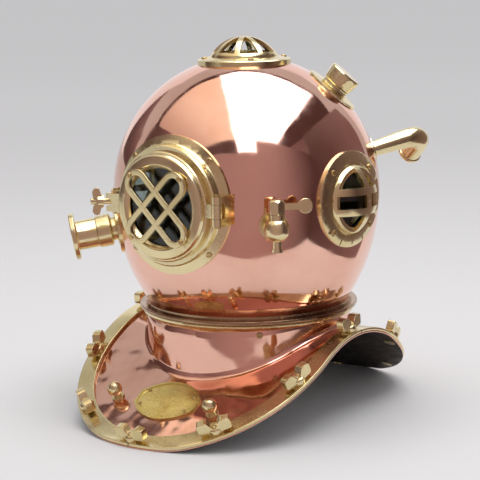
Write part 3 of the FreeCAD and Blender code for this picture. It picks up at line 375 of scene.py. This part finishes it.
def metal(name, clean, worn, rough, wave, grain, seed):
    """Polished metal: faint smudges, hairline polish marks and a slightly uneven sheet."""
    material, tree, shader = new_material(name)
    shader.inputs["Metallic"].default_value = 1.0
    patches = spread(tree, object_noise(tree, 14.0, 5.0, seed=seed), 0.42, 0.72, 0.0, 1.0)
    tree.links.new(blend_colours(tree, patches, clean, worn), shader.inputs["Base Color"])
    hairline = object_noise(tree, 260.0, 2.0, (1.0, 1.0, 9.0), seed + 3)
    fine = spread(tree, hairline, 0.35, 0.75, 0.0, 1.0)
    blotch = object_noise(tree, 38.0, 4.0, seed=seed + 5)
    gloss = tree.nodes.new("ShaderNodeMath")
    gloss.operation = "ADD"
    tree.links.new(spread(tree, blotch, 0.3, 0.75, rough[0], rough[1]), gloss.inputs[0])
    tree.links.new(spread(tree, fine, 0.0, 1.0, 0.0, rough[0] * 0.5), gloss.inputs[1])
    tree.links.new(gloss.outputs[0], shader.inputs["Roughness"])
    sheet = object_noise(tree, 13.0, 1.5, seed=seed + 8)
    cast = object_noise(tree, 420.0, 3.0, seed=seed + 11)
    bumps(tree, shader, [(sheet, 1.0, wave), (cast, 1.0, grain)])
    return material


def painted_shade_inside_sheet(name, colour, stain):
    """Tinned sheet inside and under the helmet, given a near-black colour as painted shade of the hollow,
    mottled with tarnish.
    """
    material, tree, shader = new_material(name)
    patches = spread(tree, object_noise(tree, 22.0, 5.0), 0.35, 0.7, 0.0, 1.0)
    tree.links.new(blend_colours(tree, patches, colour, stain), shader.inputs["Base Color"])
    shader.inputs["Metallic"].default_value = 0.6
    tree.links.new(spread(tree, object_noise(tree, 90.0, 3.0), 0.3, 0.7, 0.38, 0.6),
                   shader.inputs["Roughness"])
    bumps(tree, shader, [(object_noise(tree, 240.0, 4.0), 0.6, 0.0002)])
    return material


def washer(name, colour):
    """Rubber or leather of a gasket, slightly mottled."""
    material, tree, shader = new_material(name)
    patches = spread(tree, object_noise(tree, 160.0, 4.0), 0.3, 0.7, 0.0, 1.0)
    lighter = tuple(channel * 1.8 + 0.01 for channel in colour)
    tree.links.new(blend_colours(tree, patches, colour, lighter), shader.inputs["Base Color"])
    shader.inputs["Roughness"].default_value = 0.7
    bumps(tree, shader, [(object_noise(tree, 600.0, 3.0), 0.4, 0.0001)])
    return material


def window_glass(name):
    """Thick plate glass with faint smears."""
    material, tree, shader = new_material(name)
    smear = spread(tree, object_noise(tree, 45.0, 5.0, (1, 1, 3)), 0.45, 0.8, 0.015, 0.09)
    tree.links.new(smear, shader.inputs["Roughness"])
    tint = spread(tree, object_noise(tree, 20.0, 2.0), 0.3, 0.7, 0.0, 1.0)
    tree.links.new(blend_colours(tree, tint, (0.60, 0.66, 0.63), (0.50, 0.56, 0.54)),
                   shader.inputs["Base Color"])
    shader.inputs["Transmission Weight"].default_value = 1.0
    shader.inputs["IOR"].default_value = 1.5
    bumps(tree, shader, [(object_noise(tree, 30.0, 1.0), 0.3, 0.0002)])
    return material


copper = metal(
    "polished_copper", clean=(0.93, 0.56, 0.44), worn=(0.86, 0.48, 0.36), rough=(0.045, 0.12),
    wave=0.0016, grain=0.000004, seed=1.0)
copper_plate = metal(
    "breastplate_copper", clean=(0.91, 0.53, 0.41), worn=(0.80, 0.42, 0.30), rough=(0.05, 0.15),
    wave=0.0060, grain=0.000005, seed=4.0)
brass = metal(
    "polished_brass", clean=(0.85, 0.73, 0.43), worn=(0.74, 0.61, 0.32), rough=(0.13, 0.25),
    wave=0.0006, grain=0.000005, seed=7.0)
brass_cast = metal(
    "cast_brass", clean=(0.84, 0.71, 0.40), worn=(0.68, 0.55, 0.28), rough=(0.14, 0.27),
    wave=0.0008, grain=0.000015, seed=9.0)
# Darker brass for the bonnet ring: its dark colour is painted shade of the groove above the neck ring.
brass_painted_groove_shade = metal(
    "painted_groove_shade_brass", clean=(0.44, 0.29, 0.17), worn=(0.24, 0.15, 0.09), rough=(0.12, 0.26),
    wave=0.0006, grain=0.00002, seed=10.0)
brass_old = metal(
    "screw_brass", clean=(0.70, 0.53, 0.26), worn=(0.42, 0.30, 0.14), rough=(0.18, 0.36),
    wave=0.0004, grain=0.00003, seed=12.0)
plate_brass = metal(
    "aged_plate_brass", clean=(0.84, 0.70, 0.28), worn=(0.50, 0.38, 0.10), rough=(0.16, 0.32),
    wave=0.004, grain=0.00012, seed=15.0)
# Near-black inside colour: painted shade inside and under the helmet, with tarnish mottling.
inside = painted_shade_inside_sheet("tarnish_and_painted_shade_inside", (0.035, 0.028, 0.024), (0.075, 0.05, 0.035))
black_rubber = washer("black_rubber", (0.012, 0.012, 0.012))
leather = washer("oiled_leather", (0.09, 0.045, 0.022))
plate_glass = window_glass("plate_glass")


# Dome

DOME_STEPS = 110
DOME_SIDES = 256
CUT_LOW = 100.0
CUT_HIGH = 200.0


def dome_sheet(bm):
    """Half circle above the windows' level and a longer ellipse below it, turned about Z."""
    low_angle = math.acos((DOME_SEAT_Z - DOME_Z) / DOME_LOW)
    verts = []
    for i in range(DOME_STEPS + 1):
        angle = low_angle * i / DOME_STEPS
        tall = DOME_R if angle < math.pi / 2 else DOME_LOW
        verts.append(bm.verts.new((DOME_R * math.sin(angle), 0, DOME_Z + tall * math.cos(angle))))
    edges = [bm.edges.new(pair) for pair in zip(verts, verts[1:])]
    bmesh.ops.spin(bm, geom=verts + edges, cent=(0, 0, 0), axis=(0, 0, 1), angle=math.tau, steps=DOME_SIDES,
                   use_merge=True)
    bmesh.ops.remove_doubles(bm, verts=bm.verts, dist=SAME_POINT)
    bmesh.ops.recalc_face_normals(bm, faces=bm.faces)
    if sum(face.normal.dot(face.calc_center_median() - DOME_CENTRE) for face in bm.faces) < 0:
        bmesh.ops.reverse_faces(bm, faces=bm.faces)


def cutter(name, radius, matrix):
    """Round tool that cuts a window's hole in the dome."""
    bm = bmesh.new()
    bmesh.ops.create_cone(bm, cap_ends=True, segments=96, radius1=radius, radius2=radius,
                          depth=CUT_HIGH - CUT_LOW)
    bmesh.ops.translate(bm, verts=bm.verts, vec=(0, 0, (CUT_LOW + CUT_HIGH) / 2.0))
    bmesh.ops.transform(bm, matrix=Matrix.Scale(MM, 4) @ matrix, verts=bm.verts)
    return object_from(name, bm)


def make_dome():
    dome = piece("bonnet_dome", [(dome_sheet, UNMOVED)], copper, ["bonnet_shell"],
                 inner=inside, wall=DOME_WALL)
    tools = [
        cutter("hole_front", DOOR_HOLE_R, FRONT),
        cutter("hole_left", LIGHT_HOLE_R, LEFT),
        cutter("hole_right", LIGHT_HOLE_R, RIGHT),
        cutter("hole_top", LIGHT_HOLE_R, TOP),
    ]
    for tool in tools:
        cut = dome.modifiers.new(tool.name, "BOOLEAN")
        cut.operation = "DIFFERENCE"
        cut.solver = "EXACT"
        cut.object = tool
    apply_modifiers(dome)
    for tool in tools:
        bpy.data.objects.remove(tool)


# Breastplate and straps

COLLAR_ROWS = 4
FILLET_ROWS = 8
SLOPE_ROWS = 44
RIM_STEPS = 360


def breastplate_sheet(bm):
    """From the top of the collar down over the fillet and out to the rim."""
    rows = COLLAR_ROWS + FILLET_ROWS + SLOPE_ROWS

    def shape(u, v):
        row = round(u * rows)
        outer = rim_point(v, 0.0)
        angle = math.atan2(outer.y, outer.x)
        heading = Vector((math.cos(angle), math.sin(angle)))
        if row < COLLAR_ROWS:
            low = arch(heading.y * COLLAR_R)[0] + COLLAR_FILLET
            height = COLLAR_TOP_Z + (low - COLLAR_TOP_Z) * row / COLLAR_ROWS
            return Vector((*(heading * COLLAR_R), height))
        if row < COLLAR_ROWS + FILLET_ROWS:
            turn = math.pi / 2.0 * (row - COLLAR_ROWS) / FILLET_ROWS
            reach = COLLAR_R + COLLAR_FILLET * (1 - math.cos(turn))
            lift = COLLAR_FILLET * (1 - math.sin(turn))
            return Vector((*(heading * reach), arch(heading.y * reach)[0] + lift))
        share = (row - COLLAR_ROWS - FILLET_ROWS) / SLOPE_ROWS
        start = COLLAR_R + COLLAR_FILLET
        reach = start + (outer.length - RIM_SETBACK - start) * share
        return Vector((*(heading * reach), arch(heading.y * reach)[0]))

    sheet_of(bm, rows, RIM_STEPS, shape)
    bmesh.ops.recalc_face_normals(bm, faces=bm.faces)
    if sum(face.normal.z for face in bm.faces) < 0:
        bmesh.ops.reverse_faces(bm, faces=bm.faces)


def make_breastplate():
    piece("breastplate_plate", [(breastplate_sheet, UNMOVED)], copper_plate, ["breastplate_shell"],
          inner=inside, wall=SHOULDER_WALL)


def make_strap(name, at_back, on_right):
    """A quarter of the clamp strap, as a solid band with rounded edges."""
    def shape(u, v):
        across, above = soft_square(u, STRAP_SOFTNESS)
        inset = STRAP_WIDTH / 2.0 * (1.0 - across)
        along = STRAP_END_SHARE + (1.0 - 2.0 * STRAP_END_SHARE) * v
        side = side_share(inset)
        share = side + (0.5 - side) * along if at_back else side * along
        point = rim_point(1.0 - share if on_right else share, inset)
        return over_arch(point.x, point.y, STRAP_HEIGHT / 2.0 * (1.0 + above))

    def build(bm):
        sheet_of(bm, 32, 110, shape)
        bmesh.ops.holes_fill(bm, edges=[edge for edge in bm.edges if edge.is_boundary], sides=0)

    piece(name + "_band", [(build, UNMOVED)], brass, [name])


# Wing nuts

NUT_SIDE = [
    (0.0, 6.6), (1.2, 7.2), (6.6, 16.6), (8.6, 17.8), (11.0, 18.0), (17.6, 17.4), (19.4, 16.2),
    (19.9, 13.8), (19.9, 6.0), (18.4, 3.5), (9.2, 2.6), (8.5, 0.0),
]
NUT_HUB = [(0, 0), (8.6, 0), (8.6, 6.2), (6.0, 8.0), (0, 8.0)]
NUT_HALF_THICK = 6.0
NUT_TAPER = 0.2
NUT_TAPER_END = 18.0
NUT_BEVEL = 0.7
NUT_LOOK_AHEAD = 0.002


def nut_wings(bm):
    """Butterfly casting, wings along X and thinner at their tips, standing on z = 0."""
    outline = NUT_SIDE + [(-x, z) for x, z in reversed(NUT_SIDE[1:])]
    face = bm.faces.new([bm.verts.new((x, -NUT_HALF_THICK, z)) for x, z in outline])
    pulled = bmesh.ops.extrude_face_region(bm, geom=[face])
    moved = [v for v in pulled["geom"] if isinstance(v, bmesh.types.BMVert)]
    bmesh.ops.translate(bm, verts=moved, vec=(0, 2 * NUT_HALF_THICK, 0))
    for vert in bm.verts:
        vert.co.y *= 1.0 - NUT_TAPER * min(1.0, abs(vert.co.x) / NUT_TAPER_END)


def nut_hub(bm):
    """Boss of the nut round its stud."""
    lathe(bm, rounded(NUT_HUB, 0.8), 48)


def make_clamp_nut(index):
    """Wing nut on one of the clamp studs, its wings along the strap."""
    share = index / NUT_COUNT
    inset = STRAP_WIDTH / 2.0
    spot = rim_point(share, inset)
    along = rim_point(share + NUT_LOOK_AHEAD, inset) - rim_point(share - NUT_LOOK_AHEAD, inset)
    matrix = arch_place(spot.x, spot.y, Vector((along.x, along.y, 0)), NUT_LIFT)
    number = "%02d" % (index + 1)
    piece("wing_nut_casting_" + number, [(nut_wings, matrix), (nut_hub, matrix)], brass_cast,
          ["wing_nut_" + number], bevel=NUT_BEVEL)


# Door grille

GRILLE_REACH = 38.0
GRILLE_LOOP = 13.6
GRILLE_BAR = 7.4
GRILLE_HEIGHT = 4.5
GRILLE_MIDDLE = 180.95
GRILLE_SOFTNESS = 0.34


def grille_loop(bm):
    """Long rounded loop of flat bar in the XY plane."""
    half = math.pi * GRILLE_LOOP + 2.0 * GRILLE_REACH

    def shape(u, v):
        along = (v % 1.0) * 2.0 * half
        flip = 1 if along < half else -1
        along = along % half
        if along < 2.0 * GRILLE_REACH:
            side = Vector((0, -1, 0))
            point = Vector((along - GRILLE_REACH, 0, 0)) + side * GRILLE_LOOP
        else:
            turn = (along - 2.0 * GRILLE_REACH) / GRILLE_LOOP
            side = Vector((math.sin(turn), -math.cos(turn), 0))
            point = Vector((GRILLE_REACH, 0, 0)) + side * GRILLE_LOOP
        across, above = soft_square(u, GRILLE_SOFTNESS)
        middle = (point + side * (across * GRILLE_BAR / 2.0)) * flip
        return middle + UP * (GRILLE_MIDDLE + above * GRILLE_HEIGHT / 2.0)

    sheet_of(bm, 28, 200, shape)


def make_door_grille():
    """Two long loops that cross at right angles."""
    crossed = [
        (grille_loop, FRONT @ Matrix.Rotation(math.radians(turn), 4, "Z")) for turn in (45.0, 135.0)]
    piece("door_grille_bars", crossed, brass_cast, ["door_grille"])


# Fittings whose shape stays

def make_fittings():
    """Glass and gaskets get a material, metal fittings also get rounded edges."""
    plain = {
        "door_glass": plate_glass,
        "side_light_glass_left": plate_glass,
        "side_light_glass_right": plate_glass,
        "top_light_glass": plate_glass,
        "neck_gasket": leather,
        "door_gasket": black_rubber,
        "door_glass_gasket": black_rubber,
        "side_light_gasket_left": black_rubber,
        "side_light_gasket_right": black_rubber,
        "top_light_gasket": black_rubber,
    }
    for name, item in nodes.items():
        if item.hide_render:
            continue
        if name in plain:
            item.data.materials.clear()
            item.data.materials.append(plain[name])
        elif name == "nameplate":
            softened(name, plate_brass)
        elif name == "bonnet_ring":
            # The bonnet ring gets the darker brass, whose colour is painted groove shade.
            softened(name, brass_painted_groove_shade)
        elif "screws" in name or "pins" in name or "rivets" in name or name.endswith("_pin"):
            softened(name, brass_old, 0.15)
        else:
            softened(name, brass)


# Camera

PICTURE = 480
FOCAL_PIXELS = 1623.6
SENSOR = 36.0
VIEW_ANGLE = math.radians(35.6)
CAMERA_DISTANCE = 2.0
CAMERA_HEIGHT = 0.4332
PITCH = math.radians(10.03)
YAW = math.radians(-0.27)
ROLL = math.radians(1.11)
SIGHT_END = 60.0


def make_camera():
    """Camera of the photograph. Returns its directions to the right, upwards and towards it."""
    turn = Matrix.Rotation(VIEW_ANGLE, 3, "Z")
    level_reach = math.cos(PITCH)
    forward = turn @ Vector((math.sin(YAW) * level_reach, math.cos(YAW) * level_reach, -math.sin(PITCH)))
    level = turn @ Vector((math.cos(YAW), -math.sin(YAW), 0))
    above = level.cross(forward)
    right = level * math.cos(ROLL) - above * math.sin(ROLL)
    top = level * math.sin(ROLL) + above * math.cos(ROLL)
    data = bpy.data.cameras.new("camera")
    data.lens = FOCAL_PIXELS * SENSOR / PICTURE
    data.sensor_width = SENSOR
    data.clip_end = SIGHT_END
    camera = bpy.data.objects.new("camera", data)
    matrix = Matrix((right, top, -forward)).transposed().to_4x4()
    matrix.translation = turn @ Vector((0, -CAMERA_DISTANCE, CAMERA_HEIGHT))
    camera.matrix_world = matrix
    bpy.context.scene.collection.objects.link(camera)
    bpy.context.scene.camera = camera
    return right, top, -forward


# Studio

FLOOR_Z = cad_box[0][2]
FLOOR_GAP = 0.0002
FLOOR_SIZE = 60.0
# Painted light on the floor: darker near the helmet as painted shade, lighter far off as painted light.
FLOOR_NEAR_PAINTED_SHADE = (0.700, 0.692, 0.704)
FLOOR_FAR_PAINTED_LIGHT = (0.850, 0.845, 0.865)
FLOOR_PAINTED_LIGHT_FADE = (0.6, 5.0)
SKY = (1.0, 0.99, 0.985, 1.0)
AMBIENT = 0.66
BACKGROUND = 0.55
SOFTBOX_SIZE = (1.6, 2.4)
SOFTBOX_POWER = 40.0

DARK = (0.075, 0.04, 0.04)
DIM = (0.20, 0.13, 0.13)
ROOM = (0.40, 0.28, 0.28)
DUSK = (0.62, 0.50, 0.43)
WARM = (1.15, 1.02, 0.85)
WINDOW = (3.2, 3.3, 3.6)
BACKDROP = (0.86, 0.84, 0.86)


def in_view(axes, steps):
    """Vector given to the right, upwards and towards the camera, in metres."""
    return axes[0] * steps[0] + axes[1] * steps[1] + axes[2] * steps[2]


def make_softbox(axes):
    """Softbox overhead. It lights the set, and the metal sees the cards instead."""
    data = bpy.data.lights.new("overhead", "AREA")
    data.shape = "RECTANGLE"
    data.size, data.size_y = SOFTBOX_SIZE
    data.energy = SOFTBOX_POWER
    item = bpy.data.objects.new("overhead", data)
    away = in_view(axes, (0.1, 2.2, 0.5))
    item.location = DOME_CENTRE * MM + away
    item.rotation_euler = (-away).to_track_quat("-Z", "Y").to_euler()
    item.visible_glossy = False
    bpy.context.scene.collection.objects.link(item)


def card(name, axes, centre, across, along, near_colour, far_colour):
    """Plain card beside the set that only metal and glass mirror, shaded along its length."""
    x = in_view(axes, across)
    y = in_view(axes, along)
    bm = bmesh.new()
    bmesh.ops.create_grid(bm, x_segments=1, y_segments=1, size=0.5)
    bmesh.ops.transform(bm, matrix=Matrix((x, y, x.cross(y))).transposed().to_4x4(), verts=bm.verts)
    item = object_from(name, bm)
    material, tree, shader = new_material(name)
    shader.inputs["Base Color"].default_value = (0, 0, 0, 1)
    shader.inputs["Emission Strength"].default_value = 1.0
    coordinates = tree.nodes.new("ShaderNodeTexCoord")
    along_it = tree.nodes.new("ShaderNodeVectorMath")
    along_it.operation = "DOT_PRODUCT"
    along_it.inputs[1].default_value = y / y.length_squared
    tree.links.new(coordinates.outputs["Object"], along_it.inputs[0])
    share = spread(tree, along_it.outputs["Value"], -0.5, 0.5, 0.0, 1.0)
    tree.links.new(blend_colours(tree, share, near_colour, far_colour), shader.inputs["Emission Color"])
    item.data.materials.append(material)
    item.location = DOME_CENTRE * MM + in_view(axes, centre)
    item.visible_camera = False
    item.visible_shadow = False
    item.visible_diffuse = False


def make_cards(axes):
    """What the polished metal mirrors: a tall window, a dark ceiling and the sides of a room."""
    card("window_card", axes, (0.38, 1.70, 1.30), (1.60, 0, 0), (0, 0, 3.9), WINDOW, WINDOW)
    card("ceiling_card", axes, (0, 1.95, 1.45), (6.4, 0, 0), (0, 0, 4.7), DARK, DARK)
    card("back_card", axes, (0.15, 1.30, -1.9), (2.9, 0, 0), (0, 1.8, 0), BACKDROP, BACKDROP)
    card("back_corner_card", axes, (-2.4, 1.15, -1.9), (2.2, 0, 0), (0, 1.3, 0), DARK, DIM)
    card("warm_card", axes, (-1.45, 1.80, 0.85), (0, 0, 3.0), (2.0, 0, 0), DUSK, WARM)
    card("front_card", axes, (-0.27, -0.09, 0.38), (0, 0.48, 0), (0.62, 0, 0), DIM, ROOM)
    card("front_right_card", axes, (0.255, -0.05, 0.38), (0, 0.56, 0), (0.43, 0, 0), ROOM, DARK)
    card("right_card", axes, (0.47, 0.05, 0.08), (0, 0.76, 0), (0, 0, 0.62), DIM, DARK)
    card("far_right_card", axes, (2.2, 0.85, 0.6), (0, 2.2, 0), (0, 0, 4.6), DARK, DIM)
    card("left_card", axes, (-2.5, 0.85, 0.8), (0, 2.2, 0), (0, 0, 3.4), DARK, ROOM)


def make_floor():
    """Pale floor with painted light: its colour grows lighter away from the helmet and is darker near it as
    painted shade.
    """
    bm = bmesh.new()
    bmesh.ops.create_grid(bm, x_segments=1, y_segments=1, size=FLOOR_SIZE)
    bmesh.ops.translate(bm, verts=bm.verts, vec=(0, 0, FLOOR_Z - FLOOR_GAP))
    floor = object_from("floor", bm)
    material, tree, shader = new_material("pale_floor_painted_light")
    coordinates = tree.nodes.new("ShaderNodeTexCoord")
    distance = tree.nodes.new("ShaderNodeVectorMath")
    distance.operation = "LENGTH"
    tree.links.new(coordinates.outputs["Object"], distance.inputs[0])
    floor_painted_light = spread(tree, distance.outputs["Value"], *FLOOR_PAINTED_LIGHT_FADE, 0.0, 1.0)
    tree.links.new(blend_colours(tree, floor_painted_light, FLOOR_NEAR_PAINTED_SHADE, FLOOR_FAR_PAINTED_LIGHT), shader.inputs["Base Color"])
    shader.inputs["Roughness"].default_value = 0.9
    shader.inputs["Specular IOR Level"].default_value = 0.0
    floor.data.materials.append(material)


def make_world():
    """Even light, a little dimmer where the camera, metal or glass sees it."""
    world = bpy.data.worlds.new("studio")
    bpy.context.scene.world = world
    world.use_nodes = True
    tree = world.node_tree
    shader = tree.nodes["Background"]
    path = tree.nodes.new("ShaderNodeLightPath")
    mirrored = tree.nodes.new("ShaderNodeMath")
    mirrored.operation = "MAXIMUM"
    tree.links.new(path.outputs["Is Glossy Ray"], mirrored.inputs[0])
    tree.links.new(path.outputs["Is Transmission Ray"], mirrored.inputs[1])
    seen = tree.nodes.new("ShaderNodeMath")
    seen.operation = "MAXIMUM"
    tree.links.new(path.outputs["Is Camera Ray"], seen.inputs[0])
    tree.links.new(mirrored.outputs[0], seen.inputs[1])
    strength = tree.nodes.new("ShaderNodeMapRange")
    strength.inputs["To Min"].default_value = AMBIENT
    strength.inputs["To Max"].default_value = BACKGROUND
    tree.links.new(seen.outputs[0], strength.inputs["Value"])
    shader.inputs["Color"].default_value = SKY
    tree.links.new(strength.outputs["Result"], shader.inputs["Strength"])


bpy.context.scene.view_settings.view_transform = "Standard"
view_axes = make_camera()
make_floor()
make_world()
make_softbox(view_axes)
make_cards(view_axes)

make_dome()
make_breastplate()
make_strap("strap_front_left", False, False)
make_strap("strap_back_left", True, False)
make_strap("strap_back_right", True, True)
make_strap("strap_front_right", False, True)
for index in range(NUT_COUNT):
    make_clamp_nut(index)
make_door_grille()
make_fittings()
